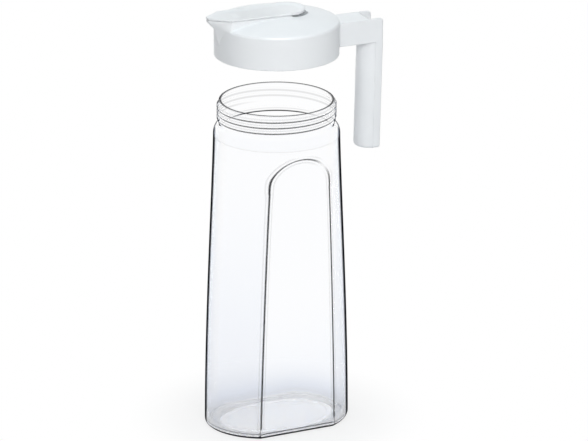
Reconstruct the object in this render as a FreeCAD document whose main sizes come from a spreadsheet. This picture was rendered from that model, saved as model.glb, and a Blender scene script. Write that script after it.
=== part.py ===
"""Two-litre drinks pitcher: a clear bottle with an arch-topped panel on each broad side,
and a white screw lid that carries the pouring beak, a see-saw spout flap and the handle.

Frame: millimetres, +Z up, origin at the centre of the resting face, +X towards the handle,
-X towards the beak. The lid stands lifted off the bottle; "lid_lift" is how far it has to
come down to be closed. The lid's pieces are drawn with z = 0 at the lower edge of its skirt
and are then raised together.
"""
import FreeCAD, Part
import math
import os
import re

import Sketcher
from FreeCAD import Rotation, Vector

SIZES = {
    # bottle body: ovals from the base up to the round shoulder. An oval is longer than the
    # shoulder by a spread to each side, which shrinks with height by two exponents
    "shoulder_height": 250.0,
    "shoulder_radius": 52.0,
    "base_spread": 9.8,
    "taper_below": 1.65,
    "taper_above": 1.25,
    "base_width_half": 50.7,
    "wall": 2.4,
    "floor_thickness": 3.6,
    "base_chamfer": 2.4,
    # panels: flat at the foot and crowned under the arch. A section's middle is its distance
    # from the axis, and its crown is the radius across the panel
    "foot_middle": 42.65,
    "arch_middle": 49.5,
    "panel_lean": 1.33,
    "arch_crown": 81.4,
    "crown_growth": 1.9,
    "arch_radius": 27.5,
    "arch_margin": 8.2,
    # neck
    "shoulder_rise": 8.0,
    "neck_length": 21.0,
    "neck_radius": 47.2,
    "neck_wall": 2.2,
    "rim_chamfer": 0.6,
    # lid shell
    "lid_lift": 59.0,
    "closed_gap": 0.8,
    "thread_room": 1.9,
    "lid_wall": 1.8,
    "lid_height": 28.0,
    "lid_edge_round": 2.2,
    "dome_rise": 7.0,
    "dome_wall": 2.2,
    "plug_clearance": 0.8,
    "plug_wall": 2.0,
    "plug_depth": 2.7,
    "gasket_thickness": 1.8,
    "seal_gap": 0.2,
    "soft_gap": 0.3,
    # beak, as how far it stands out from the skirt, and the tray under the flap
    "nose_out": 10.1,
    "nose_half": 2.5,
    "lip_depth": 2.4,
    "lip_tuck": 0.6,
    "beak_set_back": 4.9,
    "beak_width_half": 15.0,
    "beak_belly_height": 26.8,
    "beak_belly_out": 4.2,
    "belly_forward": 2.0,
    "belly_spread": 1.0,
    "beak_keel_height": 19.0,
    "beak_keel_out": 2.0,
    "beak_keel_half": 6.5,
    "keel_sink": 1.6,
    "keel_edge": 0.6,
    "beak_tip_height": 11.0,
    "tip_sink": 0.3,
    "beak_wall": 2.2,
    "tray_width_half": 17.0,
    "tray_end": 6.5,
    "tray_bottom": 24.4,
    "tray_floor": 2.6,
    "pour_hole_inset": 5.0,
    "pour_hole_length": 10.0,
    "pour_hole_half": 10.0,
    # see-saw flap
    "flap_thickness": 1.3,
    "nose_lift": 0.3,
    "thumb_lift": 1.1,
    "heel_drop": 1.0,
    "flap_gap": 0.3,
    "open_angle": 18.0,
    "spare_angle": 4.0,
    "well_room": 2.5,
    "well_round": 1.5,
    "pivot_place": 4.0,
    "pivot_depth": 2.2,
    "barrel_radius": 2.2,
    "barrel_half": 12.0,
    "stub_radius": 1.4,
    "stub_length": 2.6,
    "run_clearance": 0.1,
    "slot_clearance": 1.0,
    "seal_clearance": 0.5,
    "seal_wall": 1.6,
    # handle: box arm and a grip that is a channel open to the outside
    "handle_half": 12.5,
    "arm_bottom": 2.0,
    "arm_height": 19.9,
    "handle_reach": 89.6,
    "flange_depth": 6.2,
    "nose_depth": 10.4,
    "nose_step": 0.5,
    "grip_drop": 89.2,
    "grip_lean": 1.3,
    "handle_wall": 2.2,
    "web_end": 78.0,
    "grip_round": 3.0,
}
DERIVED = {
    "neck_base": "shoulder_height + shoulder_rise",
    "bottle_height": "neck_base + neck_length",
    "neck_rise": "neck_length - closed_gap",
    "gasket_seat": "neck_rise + seal_gap + gasket_thickness",
    "bore_radius": "neck_radius + thread_room",
    "lid_radius": "bore_radius + lid_wall",
    "nose_reach": "lid_radius + nose_out",
    "beak_shoulder": "lid_radius - beak_set_back",
    "plug_radius": "neck_radius - neck_wall - plug_clearance",
    "crown_height": "lid_height + dome_rise",
    "lid_base": "neck_base + closed_gap + lid_lift",
    "arch_top": "shoulder_height - arch_margin",
    "arch_centre": "arch_top - arch_radius",
    "pivot_height": "crown_height - pivot_depth",
    "flap_bottom": "crown_height + flap_gap",
    "flap_end": "tray_end + tray_width_half",
    "well_reach": "flap_end + well_room",
    "crease_place": "handle_reach - flange_depth",
    "handle_room": "handle_half - handle_wall",
}

doc = FreeCAD.newDocument("Pitcher")
sheet = doc.addObject("Spreadsheet::Sheet", "Sizes")
CELLS = dict(SIZES, **{alias: "=" + formula for alias, formula in DERIVED.items()})
for row, (alias, content) in enumerate(CELLS.items(), start=1):
    sheet.set("A%d" % row, alias)
    sheet.set("B%d" % row, str(content))
    sheet.setAlias("B%d" % row, alias)
doc.recompute()

WORD = re.compile(r"[a-z_]*[a-z]")
LEVEL = Rotation()
UPRIGHT = Rotation(Vector(1, 0, 0), 90)
ACROSS = Vector(0, 1, 0)


def size(expression):
    """The expression with each size's name pointed at the sheet."""
    return WORD.sub(lambda m: "Sizes." + m.group() if m.group() in CELLS else m.group(), str(expression))


def value(expression):
    """The expression's number, in millimetres or degrees."""
    result = sheet.evalExpression(size(expression))
    return float(getattr(result, "Value", result))


def bind(thing, **properties):
    """Ties properties to the sheet; a double underscore in a name stands for a dot."""
    for name, expression in properties.items():
        thing.setExpression(name.replace("__", "."), size(expression))
    return thing


def place(thing, x="0", y="0", z="0", turn=LEVEL):
    thing.Placement.Rotation = turn
    return bind(thing, Placement__Base__x=x, Placement__Base__y=y, Placement__Base__z=z)


def box(name, x, y, z, turn=LEVEL):
    """A box between pairs of expressions, low and high, along each axis."""
    block = doc.addObject("Part::Box", name)
    bind(block, Length="(%s) - (%s)" % (x[1], x[0]), Width="(%s) - (%s)" % (y[1], y[0]),
         Height="(%s) - (%s)" % (z[1], z[0]))
    return place(block, x[0], y[0], z[0], turn)


def rod(name, radius, half, x, z):
    """A rod along Y, half its length to each side of the middle plane."""
    pin = bind(doc.addObject("Part::Cylinder", name), Radius=radius, Height="2 * (%s)" % half)
    return place(pin, x, half, z, UPRIGHT)


def drum(name, radius, low, high):
    """An upright cylinder on the main axis."""
    return place(bind(doc.addObject("Part::Cylinder", name), Radius=radius,
                      Height="(%s) - (%s)" % (high, low)), z=low)


def outline(name, corners, turn=LEVEL, height="0"):
    """A closed sketch through corners (x, y). A corner with a third entry, a point on the
    way, is reached by an arc through that point."""
    sketch = place(doc.addObject("Sketcher::SketchObject", name), z=height, turn=turn)
    spots = [Vector(value(corner[0]), value(corner[1]), 0) for corner in corners]
    edges = []
    for start, stop, corner in zip(spots[-1:] + spots[:-1], spots, corners):
        if len(corner) < 3:
            edges.append((sketch.addGeometry(Part.LineSegment(start, stop)), 1, 2))
            continue
        way = Vector(value(corner[2][0]), value(corner[2][1]), 0)
        if (way - start).cross(stop - way).z > 0:
            edges.append((sketch.addGeometry(Part.Arc(start, way, stop)), 1, 2))
        else:
            edges.append((sketch.addGeometry(Part.Arc(stop, way, start)), 2, 1))
    for index, (edge, first, last) in enumerate(edges):
        following = edges[(index + 1) % len(edges)]
        sketch.addConstraint(Sketcher.Constraint("Coincident", edge, last, following[0], following[1]))
        if len(corners[index]) > 2:
            chord, centre = spots[index] - spots[index - 1], sketch.Geometry[edge].Center
            rule = ("DistanceX", centre.x) if abs(chord.y) > abs(chord.x) else ("DistanceY", centre.y)
            sketch.addConstraint(Sketcher.Constraint(rule[0], -1, 1, edge, 3, rule[1]))
        for rule, words in zip(("DistanceX", "DistanceY"), corners[index]):
            number = sketch.addConstraint(Sketcher.Constraint(rule, -1, 1, edge, last, value(words)))
            sketch.setExpression("Constraints[%d]" % number, size(words))
    return sketch


def extrude(name, sketch, length, direction=Vector(0, 0, 1), both=False):
    form = doc.addObject("Part::Extrusion", name)
    form.Base, form.Dir, form.DirMode = sketch, direction, "Custom"
    form.Solid, form.Symmetric = True, both
    return bind(form, LengthFwd=length)


def slab(name, corners, width):
    """A side view in X and Z, run along Y to both sides of the middle plane."""
    return extrude(name, outline(name + "_side", corners, UPRIGHT), width, ACROSS, True)


def revolve(name, corners):
    """A half section in radius and height, turned about the main axis."""
    form = doc.addObject("Part::Revolution", name)
    form.Source = outline(name + "_section", corners, UPRIGHT)
    form.Axis, form.Angle, form.Solid = Vector(0, 0, 1), 360, True
    return form


def loft(name, sections, ruled=False):
    form = doc.addObject("Part::Loft", name)
    form.Sections, form.Solid, form.Ruled = sections, True, ruled
    return form


def fuse(name, *things):
    form = doc.addObject("Part::MultiFuse", name)
    form.Shapes = list(things)
    return form


def common(name, *things):
    form = doc.addObject("Part::MultiCommon", name)
    form.Shapes = list(things)
    return form


def cut(name, base, *tools):
    form = doc.addObject("Part::Cut", name)
    form.Base = base
    form.Tool = tools[0] if len(tools) == 1 else fuse(name + "_tools", *tools)
    return form


def mirror(name, source, normal):
    form = doc.addObject("Part::Mirroring", name)
    form.Source, form.Normal = source, normal
    return form


def ease(kind, name, base, radius, wanted):
    """Rounds or chamfers the edges of base that wanted() picks by their bounding box."""
    doc.recompute()
    form = doc.addObject("Part::" + kind, name)
    form.Base = base
    amount = value(radius)
    form.Edges = [(number, amount, amount) for number, edge in enumerate(base.Shape.Edges, start=1)
                  if wanted(edge.BoundBox)]
    return form


def lies_at(height, slack=0.01):
    """Picks the edges that lie flat at a height."""
    level = value(height)
    return lambda bounds: abs(bounds.ZMin - level) < slack and abs(bounds.ZMax - level) < slack


# ---------------------------------------------------------------- bottle
def body_form(name, inset, foot):
    """The bottle's body, drawn in by inset: a loft through ovals, less the two panels."""
    ovals = []
    for step in range(9):
        height = "(%s + %s * (shoulder_height - %s))" % (foot, step / 8, foot)
        share = "(%s / shoulder_height)" % height
        spread = "base_spread * (1 - min(%s; 1) ^ taper_below) ^ taper_above" % share
        oval = doc.addObject("Part::Ellipse", "%s_oval_%d" % (name, step))
        bind(oval, MajorRadius="shoulder_radius + %s - %s" % (spread, inset),
             MinorRadius="base_width_half + (shoulder_radius - base_width_half) * %s - %s" % (share, inset))
        ovals.append(place(oval, z=height))

    side, far = "shoulder_radius", "2 * shoulder_radius"
    faces = []
    for share in (0, 0.25, 0.5, 0.75, 1):
        middle = "(foot_middle + %s ^ panel_lean * (arch_middle - foot_middle))" % share
        crest, edge = "%s - %s" % (inset, middle), ("-" + side, "%s - %s" % (inset, middle))
        if share:
            crown = "(arch_crown / %s ^ crown_growth)" % share
            edge = ("-" + side, "%s + %s - sqrt(%s ^ 2 - %s ^ 2)" % (crest, crown, crown, side), ("0", crest))
        faces.append(outline("%s_panel_%d" % (name, len(faces)), [
            (side, "-(%s)" % far), (side, edge[1]), edge, ("-" + side, "-(%s)" % far),
        ], height="%s * arch_top" % share))
    arch = rod(name + "_arch", "arch_radius + " + inset, far, "0", "arch_centre")
    below = box(name + "_below_arch", ("-" + side, side), ("-(%s)" % far, far),
                ("-wall", "arch_centre"))
    door = fuse(name + "_door", arch, below)
    front = common(name + "_front", loft(name + "_panel", faces, ruled=True), door)
    back = mirror(name + "_back", front, ACROSS)
    return cut(name + "_form", loft(name + "_loft", ovals, ruled=True), front, back)


def shoulder_and_neck(name, inset_low, inset_high, top):
    """The turned part above the body: a rounded shoulder in three bands and a straight neck."""
    low, high = "shoulder_radius - " + inset_low, "neck_radius - " + inset_high
    bend = [("%s - %s * (%s - (%s))" % (low, inward, low, high),
             "shoulder_height + %s * (neck_base - shoulder_height)" % upward)
            for inward, upward in ((0, 0), (0.06, 0.42), (0.42, 0.77), (1, 1))]
    return revolve(name, [("0", "shoulder_height")] + bend + [(high, top), ("0", top)])


def bottle():
    body = ease("Chamfer", "body_eased", body_form("outer", "0", "0"), "base_chamfer", lies_at("0"))
    outside = fuse("bottle_outside", body, shoulder_and_neck("neck", "0", "0", "bottle_height"))
    inside = fuse("bottle_inside", body_form("inner", "wall", "floor_thickness"),
                  shoulder_and_neck("bore", "wall", "neck_wall", "bottle_height + wall"))
    return ease("Chamfer", "bottle", cut("bottle_hollow", outside, inside), "rim_chamfer",
                lies_at("bottle_height"))


# ---------------------------------------------------------------- lid
def flap_plan(name, spread, height):
    """Plan of the beak, tray and flap: a pointed nose, a widening run and a round end."""
    half, shoulder = "tray_width_half + " + spread, "beak_width_half + " + spread
    return outline(name, [
        ("-nose_reach - " + spread, "-nose_half"),
        ("-beak_shoulder", "-(%s)" % shoulder),
        ("tray_end", "-(%s)" % half),
        ("tray_end", half, ("flap_end + " + spread, "0")),
        ("-beak_shoulder", shoulder),
        ("-nose_reach - " + spread, "nose_half"),
    ], height=height)


def beak():
    """The keel under the nose: sections that open out from a tip on the skirt to an upright lip."""
    root = "pour_hole_inset - beak_shoulder"
    stations = [
        ("beak_tip_height", "lid_radius - tip_sink", "lid_radius - 2 * tip_sink",
         "keel_edge", "0.5 * keel_edge"),
        ("beak_keel_height", "lid_radius + beak_keel_out", "lid_radius - keel_sink",
         "beak_keel_half", "keel_edge"),
        ("beak_belly_height", "lid_radius + beak_belly_out", "beak_shoulder + belly_forward",
         "beak_width_half + belly_spread", "1.5 * keel_edge"),
        ("crown_height - lip_depth", "nose_reach - lip_tuck", "beak_shoulder",
         "beak_width_half", "nose_half"),
        ("crown_height", "nose_reach", "beak_shoulder", "beak_width_half", "nose_half"),
    ]
    sections = []
    for height, reach, shoulder, half, blunt in stations:
        near = [("-(%s)" % reach, blunt), ("-(%s)" % shoulder, half), (root, half)]
        far = [(along, "-(%s)" % across) for along, across in near]
        sections.append(outline("beak_section_%d" % len(sections), far + near[::-1], height=height))
    return loft("beak", sections, ruled=True)


def dome(rim_radius, rim_height, top):
    """Points of a shallow dome in four bands, from its rim in to the axis."""
    return [("%s * (%s)" % (part, rim_radius), "%s - %s * (%s - %s)" % (top, part ** 2, top, rim_height))
            for part in (1, 0.75, 0.5, 0.25, 0)]


def lid_shell():
    """The turned shell: skirt, rounded edge, shallow dome, plug ring and the gasket's seat."""
    edge, plug_inside = "0.293 * lid_edge_round", "plug_radius - plug_wall"
    outside = [("bore_radius", "0"), ("lid_radius", "0"), ("lid_radius", "lid_height - lid_edge_round"),
               ("lid_radius - " + edge, "lid_height - " + edge)]
    inside = [(plug_inside, "neck_rise - plug_depth"), ("plug_radius", "neck_rise - plug_depth"),
              ("plug_radius", "gasket_seat"), ("bore_radius", "gasket_seat")]
    return revolve("lid_shell", outside + dome("lid_radius - lid_edge_round", "lid_height", "crown_height")
                   + dome(plug_inside, "tray_bottom", "(crown_height - dome_wall)")[::-1] + inside)


def well_plan(name, spread, low, high):
    """Plan of the hollow that the flap's thumb end dips into."""
    half = "tray_width_half + flap_gap + " + spread
    sketch = outline(name + "_plan", [
        ("pivot_place", "-(%s)" % half),
        ("tray_end", "-(%s)" % half),
        ("tray_end", half, ("well_reach + " + spread, "0")),
        ("pivot_place", half),
    ], height=low)
    return extrude(name, sketch, "(%s) - (%s)" % (high, low))


def spout_body():
    """Tray, well pan and beak as one blank, kept clear of the space that the neck fills."""
    block = extrude("tray_block", flap_plan("tray_plan", "0", "tray_bottom"), "crown_height - tray_bottom")
    tray = common("tray", block, drum("tray_limit", "lid_radius - seal_gap", "0", "crown_height"))
    pan = well_plan("well_pan", "dome_wall", "tray_bottom", "lid_height + 0.4 * dome_rise")
    neck_space = drum("neck_space", "bore_radius", "0", "gasket_seat")
    return cut("spout_body", fuse("spout_blank", tray, pan, beak()), neck_space)


def pour_channel(hole):
    """The open channel under the flap: level behind the hole, then rising to the lip."""
    lip, floor, above = "beak_wall - nose_reach", "tray_bottom + tray_floor", "crown_height + dome_rise"
    plan = extrude("channel_block", flap_plan("channel_plan", "-beak_wall", "tray_bottom"), "2 * dome_rise")
    run = [(lip, "crown_height"), (hole[0], floor), (hole[1], floor), (hole[1], above), (lip, above)]
    return common("pour_channel", plan, slab("channel_run", run, "2 * lid_radius"))


def thumb_well():
    """The hollow behind the pivot, with a floor that falls a little more than the flap does."""
    start, end = "pivot_place + seal_clearance", "well_reach - well_round"
    above = "crown_height + dome_rise"
    slope = math.tan(math.radians(value("open_angle + spare_angle")))
    run = [(start, above), (start, "crown_height"),
           (end, "crown_height - %.4f * (%s - pivot_place)" % (slope, end)), ("well_reach + 1", above)]
    return common("thumb_well", well_plan("well_block", "0", "tray_bottom", above),
                  slab("well_run", run, "2 * lid_radius"))


def lid():
    hole = ("pour_hole_inset - beak_shoulder", "pour_hole_inset - beak_shoulder + pour_hole_length")
    pour_hole = box("pour_hole", hole, ("-pour_hole_half", "pour_hole_half"),
                    ("tray_bottom - tray_floor", "crown_height - tray_floor"))
    reach = "barrel_radius + slot_clearance"
    slot = box("barrel_slot", ("pivot_place - (%s)" % reach, "pivot_place + " + reach),
               ("-barrel_half - flap_gap", "barrel_half + flap_gap"),
               ("pivot_height - barrel_radius - flap_gap", "crown_height + dome_rise"))
    sockets = rod("stub_sockets", "stub_radius + run_clearance", "barrel_half + stub_length + flap_gap",
                  "pivot_place", "pivot_height")
    outside = fuse("lid_outside", lid_shell(), spout_body())
    return cut("lid", outside, pour_channel(hole), pour_hole, thumb_well(), slot, sockets)


def lid_gasket():
    inner, outer = "plug_radius + soft_gap", "bore_radius - soft_gap"
    low, high = "gasket_seat - gasket_thickness", "gasket_seat"
    return revolve("lid_gasket", [(inner, low), (outer, low), (outer, high), (inner, high)])


# ---------------------------------------------------------------- see-saw flap
def seal_block(name, inset, top):
    """The block under the flap that plugs the pouring hole, drawn in by inset."""
    gap = "seal_clearance + " + inset
    return box(name, ("pour_hole_inset - beak_shoulder + " + gap,
                      "pour_hole_inset - beak_shoulder + pour_hole_length - (%s)" % gap),
               ("-pour_hole_half + " + gap, "pour_hole_half - (%s)" % gap),
               ("tray_bottom + %s" % inset, top))


def spout_flap():
    """A thin plate, dished along its top and thickened to a lip at the thumb end, with a pivot
    barrel and a rib for the seal below it."""
    nose, heel = "-nose_reach - 1", "flap_end + 1"
    top, core = "flap_bottom + flap_thickness", "flap_bottom + 0.5 * flap_thickness"
    plan = extrude("flap_block", flap_plan("flap_plan", "0", "crown_height"), "dome_rise")
    run = slab("flap_run", [
        (nose, "flap_bottom"), ("pivot_place + barrel_radius", "flap_bottom"),
        (heel, "flap_bottom - heel_drop"), (heel, top + " + thumb_lift"),
        (nose, top + " + nose_lift", ("-0.2 * nose_reach", top)),
    ], "2 * lid_radius")
    web = box("barrel_web", ("pivot_place - barrel_radius", "pivot_place + barrel_radius"),
              ("-barrel_half", "barrel_half"), ("pivot_height", core))
    barrel = rod("flap_barrel", "barrel_radius", "barrel_half", "pivot_place", "pivot_height")
    stubs = rod("flap_stubs", "stub_radius", "barrel_half + stub_length", "pivot_place", "pivot_height")
    return fuse("spout_flap", common("flap_plate", plan, run), web, barrel, stubs,
                seal_block("seal_rib", "seal_wall", core))


def flap_seal():
    return cut("flap_seal", seal_block("seal_outside", "0", "flap_bottom"),
               seal_block("seal_pocket", "seal_wall", "crown_height + dome_rise"))


# ---------------------------------------------------------------- handle
def handle():
    """Box arm and leaning grip. The grip is a rounded nose with a flange along each side and a
    channel open to the outside, so that one straight core makes the whole inside."""
    lean = math.tan(math.radians(value("grip_lean")))
    run = Vector(-lean, 0, -1)
    drift, low, top = "%.5f * grip_drop" % lean, "-grip_drop", "arm_bottom + arm_height"
    flanges = slab("handle_flanges", [
        ("crease_place", top), ("handle_reach", top), ("handle_reach", "0"),
        ("handle_reach - " + drift, low), ("crease_place - " + drift, low), ("crease_place", "0"),
    ], "2 * handle_half")
    arm = box("handle_arm", ("0.8 * lid_radius", "handle_reach"), ("-handle_half", "handle_half"),
              ("arm_bottom", top))

    def grip(name, inset, outer, height, drop):
        """The rounded section, drawn in by inset and run down the lean."""
        half = "handle_half - nose_step - " + inset
        plan = outline(name + "_plan", [
            (outer, "-(%s)" % half), (outer, half), ("crease_place", half),
            ("crease_place", "-(%s)" % half, ("crease_place - nose_depth + " + inset, "0")),
        ], height=height)
        return extrude(name, plan, "%.6f * (%s)" % (run.Length, drop), run)

    start = "arm_bottom + handle_wall"
    nose = grip("grip_nose", "0", "handle_reach - 1", start, "grip_drop + " + start)
    foot, crease = lies_at(low), value("crease_place - " + drift)
    outside = fuse("handle_outside", arm, ease("Fillet", "nose_rounded", nose, "grip_round", foot),
                   ease("Fillet", "flanges_rounded", flanges, "grip_round - nose_step",
                        lambda bounds: foot(bounds) and bounds.XMax > crease + 1))
    room = ("-handle_room", "handle_room")
    arm_room = box("arm_room", ("lid_radius + handle_wall", "handle_reach + 1"), room,
                   (start, top + " - handle_wall"))
    notch = box("top_notch", ("web_end", "handle_reach + 1"), room, (start, top + " + 1"))
    channel = grip("grip_channel", "handle_wall", "2 * handle_reach", start + " + 1",
                   "grip_drop + %s + 1 - handle_wall" % start)
    skirt = drum("skirt_face", "lid_radius", "0", top + " + 1")
    return cut("handle", outside, arm_room, notch, channel, skirt)


pieces = [bottle()]
for make in (lid, lid_gasket, handle, spout_flap, flap_seal):
    pieces.append(place(make(), z="lid_base"))
doc.recompute()

for thing in doc.Objects:
    if "Invalid" in thing.State or "Error" in thing.State:
        raise RuntimeError("%s failed: %s" % (thing.Name, thing.State))
os.makedirs("parts", exist_ok=True)
for piece in pieces:
    piece.Label = piece.Name
    shape = piece.Shape
    if shape.isNull() or not shape.isValid() or len(shape.Solids) != 1:
        raise RuntimeError("%s has no single valid solid" % piece.Name)
    shape.exportStep("parts/%s.step" % piece.Label)
    bounds = shape.BoundBox
    print("%-11s volume %9.1f mm3, z %.2f to %.2f" % (piece.Name, shape.Volume, bounds.ZMin, bounds.ZMax))
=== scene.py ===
"""Looks of the drinks pitcher: clear bottle, white screw lid, handle, see-saw flap and seals.

Sizes are in millimetres and are scaled to metres when a mesh is made. The frame is the CAD
model's: origin at the centre of the resting face, +Z up, +X towards the handle.
"""

import math

import bmesh
import bpy
import numpy as np
from mathutils import Matrix, Vector

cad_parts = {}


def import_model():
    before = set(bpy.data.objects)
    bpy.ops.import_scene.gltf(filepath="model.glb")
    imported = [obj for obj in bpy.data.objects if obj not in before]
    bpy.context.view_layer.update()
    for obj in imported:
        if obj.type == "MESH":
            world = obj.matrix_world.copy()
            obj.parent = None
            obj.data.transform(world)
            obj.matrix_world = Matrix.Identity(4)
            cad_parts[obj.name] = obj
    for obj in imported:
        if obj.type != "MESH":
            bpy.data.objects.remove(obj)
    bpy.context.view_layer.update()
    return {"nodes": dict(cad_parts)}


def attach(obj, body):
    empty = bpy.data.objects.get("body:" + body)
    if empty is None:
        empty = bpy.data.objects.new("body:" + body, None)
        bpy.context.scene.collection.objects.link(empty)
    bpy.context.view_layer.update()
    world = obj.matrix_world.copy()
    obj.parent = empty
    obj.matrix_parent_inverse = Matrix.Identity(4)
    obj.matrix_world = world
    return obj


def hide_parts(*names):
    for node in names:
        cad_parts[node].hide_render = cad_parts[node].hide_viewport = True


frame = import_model()

MM = 0.001

# Bottle body: an oval is longer than the shoulder by a spread, which shrinks with height
SHOULDER, SHOULDER_RADIUS, BASE_WIDTH = 250.0, 52.0, 50.7
SPREAD, TAPER_BELOW, TAPER_ABOVE = 9.8, 1.65, 1.25
WALL, FLOOR, BASE_ROUND, FLOOR_ROUND = 2.4, 3.6, 3.0, 8.0
# Panels: distance from the axis at the foot and under the arch, and the crown's radius there
FOOT_MIDDLE, ARCH_MIDDLE, PANEL_LEAN = 42.65, 49.5, 1.33
ARCH_CROWN, CROWN_GROWTH = 81.4, 1.9
ARCH_RADIUS, ARCH_TOP = 27.5, 241.8
ARCH_CENTRE = ARCH_TOP - ARCH_RADIUS
LEDGE, CREASE, CORNER_BLEND = 1.6, 0.5, 2.0
# Neck
NECK_BASE, HEIGHT, BORE_FOOT, INNER_SHOULDER = 258.0, 279.0, 254.0, 247.5
NECK, NECK_WALL, RIM_ROUND = 47.2, 2.2, 0.9
INNER_NECK, RIM_BASE = NECK - NECK_WALL, HEIGHT - RIM_ROUND
# Thread: one right-handed start on the neck, whose coil is inside the skirt. The mark is a
# point on its ridge: a direction in degrees and a height
PITCH, THREAD_ROOT, THREAD_DEPTH, THREAD_HALF = 4.7, 0.95, 0.8, 1.6
THREAD_LOW, THREAD_HIGH, THREAD_FADE, THREAD_MARK = 263.2, 276.6, 0.6, (-114.5, 274.8)
ROOT_STARTS, ROOT_STOPS = (NECK_BASE + 0.6, 262.5), (275.2, 277.6)
COIL_TURNS, COIL_STEPS = 1.9, 170
COIL_PROFILE = ((0.3, -1.1), (-0.1, -0.95), (-0.75, -0.35), (-0.85, 0.0), (-0.75, 0.35),
                (-0.1, 0.95), (0.3, 1.1))
# Lid: heights are above its skirt's lower edge
LID_BASE, LID_LIFT, LID_RADIUS, LID_HEIGHT = 317.8, 59.0, 50.9, 28.0
EDGE_ROUND, DOME_RISE, DOME_BANDS, BORE = 2.2, 7.0, 4, 49.1
# Flap: half its outline from above, a height just under its top, and how far that is dished
FLAP_OUTLINE = ((-61, 0), (-61, 2.5), (-46, 15), (-8.4, 16.4), (8, 16.9), (11.9, 16.1),
                (15.6, 14.4), (18.7, 11.8), (21.2, 8.6), (22.8, 4.9), (23.5, 0))
FLAP_TOP, FLAP_DISH, DISH_STEP = 353.9, 0.95, 1.5
# Handle: beyond these two lie the upper outer corners of its plates
PLATE_END, PLATE_TOP, PLATE_ROUND = 89.5, 339.6, 2.4

# Rings: columns over a panel and over a side, and the steps in height
PANEL_COLUMNS, SIDE_COLUMNS = 96, 44
BODY_STEP, ARCH_STEP, NECK_STEP = 4.0, 0.7, 0.3
# Painted marks: a crease too far off to draw a painted dark line, and an edge that never looks dark
NO_LINE, NO_EDGE = 40.0, -2.0
# Painted shade at the base: heights of its two painted dark lines, half sizes of the pale line
# left out of the painted grey round the flat floor and of the resting face, and how grey the
# floor is painted inside and outside that line
BASE_LINE, SECOND_LINE = 2.0, 4.6
PALE_LENGTH, PALE_WIDTH, REST_LENGTH, REST_WIDTH = 48.0, 30.5, 57.8, 39.65
FLAT_GREY, RING_GREY = 0.27, 0.5
# Painted shade on the walls: how blue-grey they are painted, and how dark the painted lines are
OVAL_SHADE, PANEL_SHADE, WALL_GREY = 0.27, 0.17, 0.25
PANEL_LINE, SHOULDER_LINE, THREAD_LINE, RIM_LINE = 0.95, 0.10, 0.88, 0.85
# Directions, in degrees, where the arch's painted line is nearly gone and the bore's foot is
# painted darkest
ARCH_GAP, FOOT_MARK = 44, 17


# ---------------------------------------------------------------- mesh helpers
def piece(name, points, faces, material, smooth=True):
    """A mesh object from points in millimetres."""
    mesh = bpy.data.meshes.new(name)
    mesh.from_pydata((np.asarray(points) * MM).tolist(), [], faces)
    mesh.materials.append(material)
    mesh.polygons.foreach_set("use_smooth", [smooth] * len(mesh.polygons))
    mesh.update()
    thing = bpy.data.objects.new(name, mesh)
    bpy.context.scene.collection.objects.link(thing)
    return thing


def ring_faces(rings, columns):
    """Quads between rings of points that follow each other, each ring closed round."""
    faces = []
    for low in range(rings - 1):
        for here in range(columns):
            there = (here + 1) % columns
            faces.append((low * columns + here, low * columns + there,
                          (low + 1) * columns + there, (low + 1) * columns + here))
    return faces


def bump(distance, width):
    """1 at no distance, falling smoothly to 0."""
    return np.exp(-(np.asarray(distance) / width) ** 2)


def smooth_step(value, low, high):
    """0 up to low, rising smoothly to 1 from high."""
    t = np.clip((np.asarray(value) - low) / (high - low), 0, 1)
    return t * t * (3 - 2 * t)


# ---------------------------------------------------------------- bottle
class Section:
    """The bottle's outline at a height, drawn in by inset."""

    def __init__(self, z, inset):
        share, rise = min(z / SHOULDER, 1), min(z / ARCH_TOP, 1)
        self.z, self.inset = z, inset
        self.length = SHOULDER_RADIUS + SPREAD * (1 - share ** TAPER_BELOW) ** TAPER_ABOVE - inset
        self.width = BASE_WIDTH + (SHOULDER_RADIUS - BASE_WIDTH) * share - inset
        self.middle = FOOT_MIDDLE + (ARCH_MIDDLE - FOOT_MIDDLE) * rise ** PANEL_LEAN - inset
        self.curve = rise ** CROWN_GROWTH / ARCH_CROWN

    def oval(self, x):
        return self.width * np.sqrt(np.maximum(1 - (x / self.length) ** 2, 0))

    def panel(self, x):
        slope = self.curve * x
        return self.middle - slope * x / (1 + np.sqrt(np.maximum(1 - slope ** 2, 0)))

    def edge(self):
        """Where the panel meets the oval, found by halving."""
        low, high = 10.0, self.length
        for _ in range(40):
            x = 0.5 * (low + high)
            low, high = (x, high) if self.oval(x) > self.panel(x) else (low, x)
        return low

    def front(self, x):
        """Distance of the wall from the middle plane, over the panel and the arch above it."""
        oval, panel = self.oval(x), self.panel(x)
        apart = oval - panel
        pressed = 0.5 * (oval + panel - np.sqrt(apart ** 2 + CREASE ** 2))
        pressed += 0.5 * CREASE ** 2 / (np.abs(apart) + CREASE)
        return oval + (np.minimum(pressed, oval) - oval) * self.door(x)

    def outside_arch(self, x):
        return np.hypot(x, self.z - ARCH_CENTRE) - (ARCH_RADIUS + self.inset)

    def door(self, x):
        """1 under the arch, 0 outside it, with a short slope between."""
        if self.z <= ARCH_CENTRE:
            return np.ones_like(x)
        return smooth_step(-self.outside_arch(x), -0.5 * LEDGE, 0.5 * LEDGE)

    def crease(self, x):
        """Distance outside the panel's outline, below zero inside it."""
        sides = np.abs(x) - self.edge()
        if self.z <= ARCH_CENTRE:
            return sides
        arch = self.outside_arch(x)
        apart = np.sqrt((arch - sides) ** 2 + CORNER_BLEND ** 2)
        return 0.5 * (arch + sides + apart) - 0.5 * CORNER_BLEND ** 2 / apart


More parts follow.
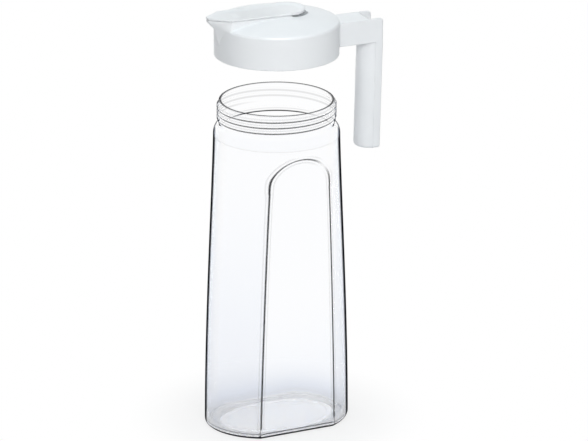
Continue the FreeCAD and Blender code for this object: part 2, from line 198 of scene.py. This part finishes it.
def section_points(section):
    """One closed ring: front panel, handle end, back panel, beak end."""
    edge = Section(min(section.z, ARCH_CENTRE), section.inset).edge()
    across = edge * np.sin(np.linspace(-0.5, 0.5, PANEL_COLUMNS + 1) * math.pi)
    front = section.front(across)
    start = math.atan2(section.oval(edge) / section.width, edge / section.length)
    turn = np.linspace(-start, start, SIDE_COLUMNS + 1)[1:-1]
    side_x, side_y = section.length * np.cos(turn), section.width * np.sin(turn)
    x = np.concatenate([across, side_x, across[::-1], -side_x])
    y = np.concatenate([-front, side_y, front[::-1], side_y[::-1]])
    return np.stack([x, y, np.full_like(x, section.z)], 1)


def body_heights(low):
    """Heights of the rings from low to the shoulder: fine where the arch is."""
    plain = np.arange(low, ARCH_CENTRE - 2, BODY_STEP)
    arch = np.arange(ARCH_CENTRE - 1.5, ARCH_TOP + 2.0, ARCH_STEP)
    return np.concatenate([plain, arch, np.linspace(ARCH_TOP + 2.9, SHOULDER, 4)])


def turned(ring, radius, z):
    """A ring of the same directions as another, at a radius that may vary round it."""
    angle = np.arctan2(ring[:, 1], ring[:, 0])
    radius = np.broadcast_to(radius, angle.shape)
    return np.stack([radius * np.cos(angle), radius * np.sin(angle), np.full_like(angle, z)], 1)


def shoulder_curve(low, high):
    """Points (radius, height) of a rounded shoulder, from its upright foot to its level top."""
    turns = np.radians(np.linspace(0, 90, 12)[1:])
    return [(high[0] + (low[0] - high[0]) * math.cos(turn) ** 0.9,
             low[1] + (high[1] - low[1]) * math.sin(turn) ** 1.1) for turn in turns]


def thread(angle, z):
    """At each angle, in degrees, and height: how far the thread stands out, the distance to
    the foot of the ridge above, and how much of a ridge there is."""
    behind = z - (THREAD_MARK[1] + PITCH * (angle - THREAD_MARK[0]) / 360)
    off = behind - PITCH * np.round(behind / PITCH)
    ridge = z - off
    fade = smooth_step(ridge, THREAD_LOW, THREAD_LOW + THREAD_FADE)
    fade = fade * smooth_step(-ridge, -THREAD_HIGH, THREAD_FADE - THREAD_HIGH)
    t = np.clip(np.abs(off) / THREAD_HALF, 0, 1)
    crest = np.clip(1.35 * (1 - t * t) ** 1.5, 0, 1)
    root = smooth_step(z, *ROOT_STARTS) * smooth_step(-z, -ROOT_STOPS[1], -ROOT_STOPS[0])
    out = THREAD_ROOT * float(root) + THREAD_DEPTH * fade * crest
    foot = np.abs(off + 0.75 * THREAD_HALF)
    return out, np.minimum(foot, PITCH - foot), fade


class Shell:
    """Rings of the bottle's wall, each point with what its material reads: crease, the
    distance in millimetres to a line where the wall bends the light; line, how dark the painted
    shade of that line is; edge, how wide the wall looks dark edge on, with painted shade; shade,
    how grey it is painted; and behind, the share of the line and the shade that is seen through
    the wall. Where the crease changes sign from one point to the next, a line is drawn between
    them."""

    MARKS = ("crease", "line", "edge", "shade", "behind")

    def __init__(self):
        self.rings, self.marks = [], []

    def add(self, ring, crease=NO_LINE, line=0.0, edge=1.0, shade=0.0, behind=0.0):
        marks = (crease, line, edge, shade, behind)
        self.rings.append(ring)
        self.marks.append([np.broadcast_to(mark, len(ring)) for mark in marks])

    def build(self, name, material, low, high):
        """The closed mesh, with fans to a middle point at both ends."""
        columns = len(self.rings[0])
        points = np.concatenate(self.rings + [[(0, 0, low)], [(0, 0, high)]])
        faces = ring_faces(len(self.rings), columns)
        first, last = len(points) - 2, (len(self.rings) - 1) * columns
        faces += [(first, (i + 1) % columns, i) for i in range(columns)]
        faces += [(first + 1, last + i, last + (i + 1) % columns) for i in range(columns)]
        made = piece(name, points, faces, material)
        values = [np.stack(mark, 1) for mark in self.marks]
        values = np.concatenate(values + [values[0][:1], values[-1][:1]]).astype(np.float32)
        for index, mark in enumerate(self.MARKS):
            layer = made.data.attributes.new(mark, "FLOAT", "POINT")
            layer.data.foreach_set("value", np.ascontiguousarray(values[:, index]))
        return made


def near_wall_shade(z, crease):
    """Painted shade on the near wall, a faint blue-grey: stronger towards the foot, and less on the
    flat panel.
    """
    oval = OVAL_SHADE * (1 - float(smooth_step(z, -60, 260)))
    panel = PANEL_SHADE * (1 - float(smooth_step(z, -20, 130)))
    return oval + (panel - oval) * smooth_step(-np.asarray(crease), 0, 2)


def side_of(crease):
    """1 outside the panel's outline, -1 inside it, 0 on it."""
    return np.sign(np.round(crease, 4))


def wall_shade(z):
    """Painted shade: how grey the inner wall is made near the floor, where it bends the light most.
    """
    return WALL_GREY * math.exp(-((z - FLOOR) / 10.5) ** 1.3)


def rim_crease(turn):
    """The rim's line lies on its top, a quarter turn up its rounding."""
    return 0.6 * RIM_ROUND * (0.5 * math.pi - turn)


def underside(shell):
    """The resting face, from its middle outwards, painted grey as shade, with the pale line round
    the flat floor left out of that grey.
    """
    outer = section_points(Section(0.0, BASE_ROUND))
    angle = np.arctan2(outer[:, 1] / REST_WIDTH, outer[:, 0] / REST_LENGTH)
    x, y = PALE_LENGTH * np.cos(angle), PALE_WIDTH * np.sin(angle)
    pale = np.stack([x, y, np.zeros_like(angle)], 1)
    # Painted shade on the flat floor, fading out at the pale line
    for share in (0.05, 0.5, 0.88, 0.91, 0.94, 0.965, 0.99, 1.015):
        grey = FLAT_GREY * (1 - float(smooth_step(share, 0.905, 0.95)))
        shell.add(pale * (share, share, 1), crease=0, edge=NO_EDGE, shade=grey, behind=1)
    # Painted shade and a painted dark band on the ring outside the pale line
    for share in (0.06, 0.12, 0.18, 0.26, 0.36, 0.55, 0.8, 0.97):
        grey = RING_GREY * float(smooth_step(share, 0.05, 0.24))
        grey *= 1 - 0.4 * float(smooth_step(share, 0.3, 1))
        shell.add(pale + (outer - pale) * share, crease=0, line=0.45 * grey, edge=NO_EDGE,
                  shade=grey, behind=1)


def base_edge(shell):
    """The rounded edge of the base, with a painted dark line on it and a second one just above, and
    painted shade.
    """
    for turn in np.radians(np.linspace(0, 90, 9)):
        drawn_in, z = BASE_ROUND * (1 - math.sin(turn)), BASE_ROUND * (1 - math.cos(turn))
        section = Section(z, drawn_in)
        ring = section_points(section)
        side = side_of(section.crease(ring[:, 0]))
        shell.add(ring, side * max(z - BASE_LINE, 0), line=1.0, shade=0.06)
    for z in (3.4, 3.8, 4.2, 4.6, 5.0, 5.4, 6.0, 7.0):
        section = Section(z, 0.0)
        ring = section_points(section)
        crease = section.crease(ring[:, 0])
        line = 0.45 + 0.4 * smooth_step(-crease, -3, 3)
        shell.add(ring, side_of(crease) * abs(z - SECOND_LINE), line, shade=near_wall_shade(z, crease))


def body_wall(shell):
    """The outer wall up to the shoulder, with a painted dark line round each panel, faded out on
    one side of the arch, and painted shade.
    """
    for z in body_heights(9.0):
        section = Section(z, 0.0)
        ring = section_points(section)
        crease = section.crease(ring[:, 0])
        shade = near_wall_shade(z, crease)
        if z > ARCH_TOP + 3:
            shell.add(ring, SHOULDER - z, SHOULDER_LINE, shade=shade)
            continue
        around = np.degrees(np.arctan2(z - ARCH_CENTRE, -ring[:, 0] * np.sign(ring[:, 1])))
        gap = 1 - 0.9 * bump(around - ARCH_GAP, 20) * (z > ARCH_CENTRE)
        line = PANEL_LINE * gap * (1 - smooth_step(z, ARCH_TOP + 1, ARCH_TOP + 3))
        widened = 0.72 - 0.14 * float(smooth_step(z, ARCH_CENTRE - 8, ARCH_CENTRE + 6))
        shell.add(ring, crease * widened, line, shade=shade)


def shoulder_and_neck(shell):
    """The outer face from the shoulder to the rim's top, in the directions of the last ring, with
    painted dark lines at the shoulder, under the thread's ridges and on the rim.
    """
    ring = shell.rings[-1]
    for radius, z in shoulder_curve((SHOULDER_RADIUS, SHOULDER), (NECK, NECK_BASE)):
        edge = 0.6 - 2.0 * float(smooth_step(z, 255.2, 257.2))
        shell.add(turned(ring, radius, z), z - SHOULDER, SHOULDER_LINE, edge, shade=0.03)
    angle = np.degrees(np.arctan2(ring[:, 1], ring[:, 0]))
    for z in np.arange(NECK_BASE + NECK_STEP, RIM_BASE - 0.5 * NECK_STEP, NECK_STEP):
        out, crease, fade = thread(angle, z)
        shell.add(turned(ring, NECK + out, z), 0.75 * crease, THREAD_LINE * fade, edge=0.45,
                  behind=0.22)
    for turn in np.radians(np.linspace(0, 90, 5)):
        radius = NECK - RIM_ROUND + RIM_ROUND * math.cos(turn)
        z = RIM_BASE + RIM_ROUND * math.sin(turn)
        shell.add(turned(ring, radius, z), rim_crease(turn), RIM_LINE, edge=0.3, behind=1)
    return ring


def bore(shell, outer_ring):
    """The inner face from the rim's top down to the shoulder, with a painted dark line on the rim
    and at its foot, darkest towards one direction.
    """
    for turn in np.radians(np.linspace(90, 0, 5)):
        radius = INNER_NECK + RIM_ROUND - RIM_ROUND * math.cos(turn)
        z = RIM_BASE + RIM_ROUND * math.sin(turn)
        shell.add(turned(outer_ring, radius, z), rim_crease(turn), RIM_LINE, edge=-0.5, behind=1)
    ring = section_points(Section(SHOULDER, WALL))
    around = np.degrees(np.arctan2(ring[:, 0] * np.sign(ring[:, 1]), np.abs(ring[:, 1])))
    line = 1 - 0.8 * smooth_step(np.abs(around - FOOT_MARK), 30, 55)
    foot = BORE_FOOT + 0.3
    for z in np.append(np.linspace(RIM_BASE - 0.5, BORE_FOOT + 1.2, 12), foot):
        shell.add(turned(ring, INNER_NECK, z), 0.7 * (z - foot), line, NO_EDGE)
    bend = shoulder_curve((SHOULDER_RADIUS - WALL, INNER_SHOULDER), (INNER_NECK, BORE_FOOT))
    for radius, z in bend[::-1]:
        shell.add(turned(ring, radius, z), foot - z + radius - INNER_NECK, line, NO_EDGE)


def inner_wall(shell):
    """The inner face from the shoulder down to the middle of the floor, with painted shade low on
    the wall and in the floor's rounding.
    """
    heights = body_heights(FLOOR + FLOOR_ROUND + 0.6)
    for z in heights[heights < INNER_SHOULDER - 0.3][::-1]:
        shell.add(section_points(Section(z, WALL)), edge=-0.9, shade=wall_shade(z))
    for turn in np.radians(np.linspace(90, 0, 9)):
        drawn_in = WALL + FLOOR_ROUND * (1 - math.sin(turn))
        z = FLOOR + FLOOR_ROUND * (1 - math.cos(turn))
        shade = wall_shade(z) * float(smooth_step(turn, 0.1, 0.5))
        shell.add(section_points(Section(z, drawn_in)), edge=NO_EDGE, shade=shade)
    flat = section_points(Section(FLOOR, WALL + FLOOR_ROUND))
    for share in (0.9, 0.5, 0.05):
        shell.add(flat * (share, share, 1), edge=NO_EDGE)


def bottle_mesh(material):
    shell = Shell()
    underside(shell)
    base_edge(shell)
    body_wall(shell)
    bore(shell, shoulder_and_neck(shell))
    inner_wall(shell)
    return shell.build("clear_bottle", material, 0.0, FLOOR)


# ---------------------------------------------------------------- lid, handle and flap
def moulded_copy(node_name, finish, shape):
    """A copy of a CAD node with soft shading, which shape finishes first."""
    source = frame["nodes"][node_name]
    mesh = source.data.copy()
    mesh.name = node_name + "_moulded"
    made = bpy.data.objects.new(mesh.name, mesh)
    made.matrix_world = source.matrix_world
    bpy.context.scene.collection.objects.link(made)
    solid = bmesh.new()
    solid.from_mesh(mesh)
    bmesh.ops.remove_doubles(solid, verts=solid.verts, dist=1e-6)
    shape(solid)
    sharpest = math.radians(19)
    for face in solid.faces:
        face.smooth = True
    for edge in solid.edges:
        edge.smooth = edge.is_manifold and edge.calc_face_angle(0) < sharpest
    solid.to_mesh(mesh)
    solid.free()
    mesh.materials.clear()
    mesh.materials.append(finish)
    return made


def split_long(solid, chosen, longest):
    """Halves the edges whose two ends are chosen until none is longer than longest."""
    for _ in range(6):
        long_edges = [edge for edge in solid.edges
                      if edge.calc_length() > longest * MM and all(chosen(v) for v in edge.verts)]
        if not long_edges:
            return
        bmesh.ops.subdivide_edges(solid, edges=long_edges, cuts=1)
        bmesh.ops.triangulate(solid, faces=[face for face in solid.faces if len(face.verts) > 4])


def round_lid(solid):
    """Turns the shell's straight bands, along its edge and over its dome, into true curves."""
    rim, edge_foot, close = LID_RADIUS - EDGE_ROUND, LID_HEIGHT - EDGE_ROUND, 0.01

    def place(vertex):
        return math.hypot(vertex.co.x, vertex.co.y) / MM, vertex.co.z / MM - LID_BASE

    def dome(radius):
        return LID_HEIGHT + DOME_RISE * (1 - (radius / rim) ** 2)

    def banded(radius):
        step = rim / DOME_BANDS
        low = min(int(radius / step), DOME_BANDS - 1) * step
        share = (radius - low) / step
        return dome(low) + share * (dome(low + step) - dome(low))

    def on_dome(vertex):
        radius, z = place(vertex)
        return radius < rim + close and abs(z - banded(radius)) < 2 * close

    def on_edge(vertex):
        """On the chamfer that stands for the rounding, so just inside the rounding's circle."""
        radius, z = place(vertex)
        if not rim - close < radius < LID_RADIUS + close or z <= edge_foot - close:
            return False
        return 0.93 < math.hypot(radius - rim, z - edge_foot) / EDGE_ROUND < 1.003

    split_long(solid, on_dome, 5.0)
    split_long(solid, on_edge, 1.2)
    for vertex in solid.verts:
        radius, z = place(vertex)
        if on_edge(vertex):
            out, up = radius - rim, z - edge_foot
            grown = EDGE_ROUND / math.hypot(out, up)
            vertex.co.x *= (rim + out * grown) / radius
            vertex.co.y *= (rim + out * grown) / radius
            vertex.co.z = (LID_BASE + edge_foot + up * grown) * MM
        elif on_dome(vertex):
            vertex.co.z = (LID_BASE + dome(radius)) * MM


def inside_flap(x, y):
    """Distance from the flap's edge, seen from above."""
    nearest = math.inf
    for (x0, y0), (x1, y1) in zip(FLAP_OUTLINE, FLAP_OUTLINE[1:]):
        run = Vector((x1 - x0, y1 - y0))
        share = min(max(run.dot(Vector((x - x0, abs(y) - y0))) / run.length_squared, 0), 1)
        nearest = min(nearest, math.hypot(x - x0 - share * run.x, abs(y) - y0 - share * run.y))
    return nearest


def cut(solid, place, normal):
    parts = solid.verts[:] + solid.edges[:] + solid.faces[:]
    bmesh.ops.bisect_plane(solid, geom=parts, dist=1e-7, plane_co=place, plane_no=normal)


def dish_flap(solid):
    """Sinks the flap's top a little inside a raised lip, apart from its beak end."""
    for step in np.arange(-59, 23, DISH_STEP):
        cut(solid, (step * MM, 0, 0), (1, 0, 0))
    for step in np.arange(-15.75, 16, DISH_STEP):
        cut(solid, (0, step * MM, 0), (0, 1, 0))
    for vertex in solid.verts:
        x, y, z = (c / MM for c in vertex.co)
        if z >= FLAP_TOP and any(face.normal.z > 0.9 for face in vertex.link_faces):
            depth = smooth_step(inside_flap(x, y), 1.2, 6.0) * smooth_step(x, -56, -38)
            vertex.co.z -= FLAP_DISH * MM * float(depth)


def round_handle(solid):
    """Rounds the upper outer corners of the handle's two side plates."""
    corners = [edge for edge in solid.edges
               if all(v.co.x > PLATE_END * MM and v.co.z > PLATE_TOP * MM for v in edge.verts)]
    bmesh.ops.bevel(solid, geom=corners, offset=PLATE_ROUND * MM, segments=5, profile=0.5,
                    affect="EDGES")


def lid_thread(finish):
    """The ridge inside the skirt, a closed coil that runs in the neck's groove when closed."""
    points = []
    for step in range(COIL_STEPS + 1):
        share = step / COIL_STEPS
        turn = math.radians(THREAD_MARK[0] + 360 * COIL_TURNS * (share - 1))
        z = THREAD_MARK[1] + 0.5 * PITCH + PITCH * COIL_TURNS * (share - 1) + LID_LIFT
        grown = 0.25 + 0.75 * min(1.0, 14 * share, 14 * (1 - share))
        for out, up in COIL_PROFILE:
            radius = BORE + (out * grown if out < 0 else out)
            points.append((radius * math.cos(turn), radius * math.sin(turn), z + up * grown))
    count = len(COIL_PROFILE)
    faces = ring_faces(COIL_STEPS + 1, count)
    faces += [tuple(range(count))[::-1], tuple(COIL_STEPS * count + i for i in range(count))]
    return piece("lid_thread", points, faces, finish)


# ---------------------------------------------------------------- materials
def material(name):
    made = bpy.data.materials.new(name)
    made.use_nodes = True
    return made, made.node_tree, made.node_tree.nodes["Principled BSDF"]


def link(tree, source, target):
    tree.links.new(source, target)


def node(tree, kind, **settings):
    made = tree.nodes.new("ShaderNode" + kind)
    for name, setting in settings.items():
        setattr(made, name, setting)
    return made


def fill(made, values):
    """Sets a node's inputs by their names."""
    for name, given in values.items():
        made.inputs[name].default_value = given


def math_node(tree, operation, *values, clamp=False):
    made = node(tree, "Math", operation=operation, use_clamp=clamp)
    for socket, given in zip(made.inputs, values):
        if isinstance(given, (int, float)):
            socket.default_value = given
        else:
            link(tree, given, socket)
    return made.outputs[0]


def step_node(tree, value, low, high, start=0.0, end=1.0):
    """A smooth step from start at low to end at high."""
    made = node(tree, "MapRange", interpolation_type="SMOOTHSTEP")
    link(tree, value, made.inputs["Value"])
    fill(made, {"From Min": low, "From Max": high, "To Min": start, "To Max": end})
    return made.outputs[0]


def ramp(tree, source, *stops):
    """A colour ramp from (place, colour) stops."""
    made = node(tree, "ValToRGB")
    elements = made.color_ramp.elements
    for index, (place, colour) in enumerate(stops):
        element = elements[index] if index < 2 else elements.new(place)
        element.position = place
        element.color = (*colour, 1)
    link(tree, source, made.inputs[0])
    return made.outputs[0]


def mix_shaders(tree, share, first, second, output):
    """Shows first where share is 0 and second where it is 1."""
    made = node(tree, "MixShader")
    for socket, source in zip(made.inputs, (share, first.outputs[0], second.outputs[0])):
        link(tree, source, socket)
    link(tree, made.outputs[0], output.inputs[0])


def clear_plastic():
    """See-through, with painted dark lines where the wall is seen edge on or turns a corner, and
    painted grey shade.
    """
    made, tree, shader = material("clear_plastic")
    fill(shader, {"Roughness": 0.03, "IOR": 1.2, "Transmission Weight": 1.0})
    crease, line, edge, shade, behind = [node(tree, "Attribute", attribute_name=name).outputs["Fac"]
                                         for name in Shell.MARKS]
    # 1 on a face turned to the viewer, the point's own share on one seen through the wall
    hidden = math_node(tree, "MULTIPLY", math_node(tree, "SUBTRACT", 1.0, behind),
                       node(tree, "NewGeometry").outputs["Backfacing"])
    seen = math_node(tree, "SUBTRACT", 1.0, hidden)
    # Painted dark edge: near 1 where the wall is seen edge on, and less where its edge mark is low
    facing = node(tree, "LayerWeight")
    fill(facing, {"Blend": 0.5})
    narrow = math_node(tree, "MULTIPLY", math_node(tree, "SUBTRACT", 1.0, edge), 0.14)
    edge_on = math_node(tree, "SUBTRACT", facing.outputs["Facing"], narrow)
    rim = step_node(tree, edge_on, 0.70, 0.81)
    # A painted dark line along each crease, with a faint echo on both sides
    away = math_node(tree, "ABSOLUTE", crease)
    echo = math_node(tree, "ABSOLUTE", math_node(tree, "SUBTRACT", away, 1.75))
    bend = math_node(tree, "MAXIMUM", step_node(tree, away, 0.15, 0.85, 1.0, 0.0),
                     step_node(tree, echo, 0.1, 0.6, 0.15, 0.0))
    mark = math_node(tree, "MULTIPLY", math_node(tree, "MULTIPLY", bend, line), seen)
    dark = math_node(tree, "MAXIMUM", rim, mark)
    # The painted shade: blue where it is faint, grey where it is strong, with a painted grey haze
    # towards the edge on parts
    grey = math_node(tree, "MULTIPLY", shade, seen)
    haze = step_node(tree, edge_on, 0.45, 0.75, 0.0, 0.12)
    alpha = math_node(tree, "ADD", math_node(tree, "ADD", grey, haze), 0.012, clamp=True)
    link(tree, alpha, shader.inputs["Alpha"])
    hue = ramp(tree, grey, (0.05, (0.25, 0.40, 0.80)), (0.20, (0.18, 0.25, 0.46)),
               (0.26, (0.11, 0.125, 0.16)))
    link(tree, hue, shader.inputs["Base Color"])
    # The near-black that paints the dark lines and edges: painted shade
    black = node(tree, "BsdfDiffuse")
    fill(black, {"Color": (0.010, 0.011, 0.016, 1)})
    mix_shaders(tree, dark, shader, black, tree.nodes["Material Output"])
    return made


def moulded(name, colour, roughness, grain, softness):
    """Opaque plastic or rubber: a fine uneven surface, and corners that catch the light."""
    made, tree, shader = material(name)
    fill(shader, {"Roughness": roughness, "IOR": 1.48, "Subsurface Weight": 0.25,
                  "Subsurface Radius": (1, 1, 1), "Subsurface Scale": 3 * MM})
    space = node(tree, "TexCoord").outputs["Object"]
    flow = node(tree, "TexNoise")
    fill(flow, {"Scale": 35, "Detail": 3})
    link(tree, space, flow.inputs["Vector"])
    darker, lighter = [tuple(channel * share for channel in colour) for share in (0.985, 1.015)]
    uneven = ramp(tree, flow.outputs["Fac"], (0.3, darker), (0.7, lighter))
    link(tree, uneven, shader.inputs["Base Color"])
    fine = node(tree, "TexNoise")
    fill(fine, {"Scale": 900})
    link(tree, space, fine.inputs["Vector"])
    corner = node(tree, "Bevel")
    corner.samples = 6
    fill(corner, {"Radius": softness * MM})
    relief = node(tree, "Bump")
    fill(relief, {"Strength": grain, "Distance": 0.2 * MM})
    link(tree, fine.outputs["Fac"], relief.inputs["Height"])
    link(tree, corner.outputs[0], relief.inputs["Normal"])
    link(tree, relief.outputs["Normal"], shader.inputs["Normal"])
    return made


# ---------------------------------------------------------------- studio
def seen_directly(tree):
    """1 for rays that come from the camera, a reflection or a refraction."""
    path = node(tree, "LightPath")
    kinds = [path.outputs["Is " + kind + " Ray"] for kind in ("Camera", "Glossy", "Transmission")]
    return math_node(tree, "MAXIMUM", math_node(tree, "MAXIMUM", kinds[0], kinds[1]), kinds[2])


def world():
    """Soft light, stronger from above, in front of a white backdrop."""
    made = bpy.data.worlds.new("studio")
    bpy.context.scene.world = made
    made.use_nodes = True
    tree = made.node_tree
    tree.nodes.clear()
    direction = node(tree, "SeparateXYZ")
    link(tree, node(tree, "TexCoord").outputs["Generated"], direction.inputs[0])
    level = math_node(tree, "ADD", math_node(tree, "MULTIPLY", direction.outputs["Z"], 0.5), 0.5)
    light = ramp(tree, level, (0.35, (0.11, 0.11, 0.115)), (1.0, (0.24, 0.26, 0.27)))
    soft = node(tree, "Background")
    link(tree, light, soft.inputs["Color"])
    white = node(tree, "Background")
    fill(white, {"Color": (1, 1, 1, 1)})
    mix_shaders(tree, seen_directly(tree), soft, white, node(tree, "OutputWorld"))


def floor():
    """A pale floor that keeps the shadow near the bottle and fades to white further off."""
    made, tree, shader = material("pale_floor")
    fill(shader, {"Base Color": (0.75, 0.75, 0.75, 1), "Roughness": 0.9})
    place = node(tree, "VectorMath", operation="LENGTH")
    link(tree, node(tree, "TexCoord").outputs["Object"], place.inputs[0])
    fade = step_node(tree, place.outputs["Value"], 0.055, 0.13, 0.78, 1.0)
    share = math_node(tree, "MULTIPLY", fade, seen_directly(tree))
    mix_shaders(tree, share, shader, node(tree, "Emission"), tree.nodes["Material Output"])
    reach = 6000.0
    corners = [(-reach, -reach, 0), (reach, -reach, 0), (reach, reach, 0), (-reach, reach, 0)]
    plane = piece("floor", corners, [(0, 1, 2, 3)], made, smooth=False)
    plane.location.z = -0.2 * MM


def lamp(name, size, power, place, colour=(1, 1, 1)):
    """A round lamp, size metres wide and of power watts, turned to the object's middle."""
    light = bpy.data.lights.new(name, "AREA")
    light.shape, light.size, light.energy, light.color = "DISK", size, power, colour
    made = bpy.data.objects.new(name, light)
    made.location = place
    middle = Vector((0, 0, 0.22))
    made.rotation_euler = (middle - Vector(place)).to_track_quat("-Z", "Y").to_euler()
    bpy.context.scene.collection.objects.link(made)


def camera():
    """A long lens from the front left, a little above the object. Its numbers come from a fit
    of the object's outlines to the photograph, with lengths in metres."""
    azimuth, elevation, roll = math.radians(24.8), math.radians(19.56), math.radians(0.13)
    aim, distance = Vector((0.01304, -0.00603, 0.17372)), 2.8631
    level = math.cos(elevation)
    ahead = Vector((level * math.sin(azimuth), level * math.cos(azimuth), -math.sin(elevation)))
    lens = bpy.data.cameras.new("camera")
    lens.lens, lens.sensor_width, lens.sensor_fit = 212.81, 36.0, "HORIZONTAL"
    lens.clip_end = 50
    made = bpy.data.objects.new("camera", lens)
    turn = ahead.to_track_quat("-Z", "Y").to_matrix() @ Matrix.Rotation(roll, 3, "Z")
    made.matrix_world = Matrix.Translation(aim - distance * ahead) @ turn.to_4x4()
    bpy.context.scene.collection.objects.link(made)
    bpy.context.scene.camera = made


# ---------------------------------------------------------------- assembly
bpy.context.scene.view_settings.view_transform = "Standard"
camera()
world()
floor()
lamp("key", 1.3, 31.5, (-0.58, -1.79, 1.54))
lamp("top", 1.2, 9, (0.0, -0.3, 2.0), (0.86, 0.97, 1.0))
lamp("rim", 1.2, 14, (-0.4, 1.9, 1.3))

bottle = bottle_mesh(clear_plastic())
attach(bottle, "bottle")
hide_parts("bottle")

white = moulded("white_plastic", (0.86, 0.87, 0.885), roughness=0.34, grain=0.08, softness=1.0)
silicone = moulded("silicone", (0.74, 0.76, 0.77), roughness=0.6, grain=0.3, softness=0.3)
for name, body, shape in (("lid", "lid", round_lid), ("handle", "lid", round_handle),
                          ("spout_flap", "flap", dish_flap)):
    shown = moulded_copy(name, white, shape)
    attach(shown, body)
    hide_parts(name)
coil = lid_thread(white)
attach(coil, "lid")
for name in ("flap_seal", "lid_gasket"):
    shown = frame["nodes"][name]
    shown.data.materials.clear()
    shown.data.materials.append(silicone)
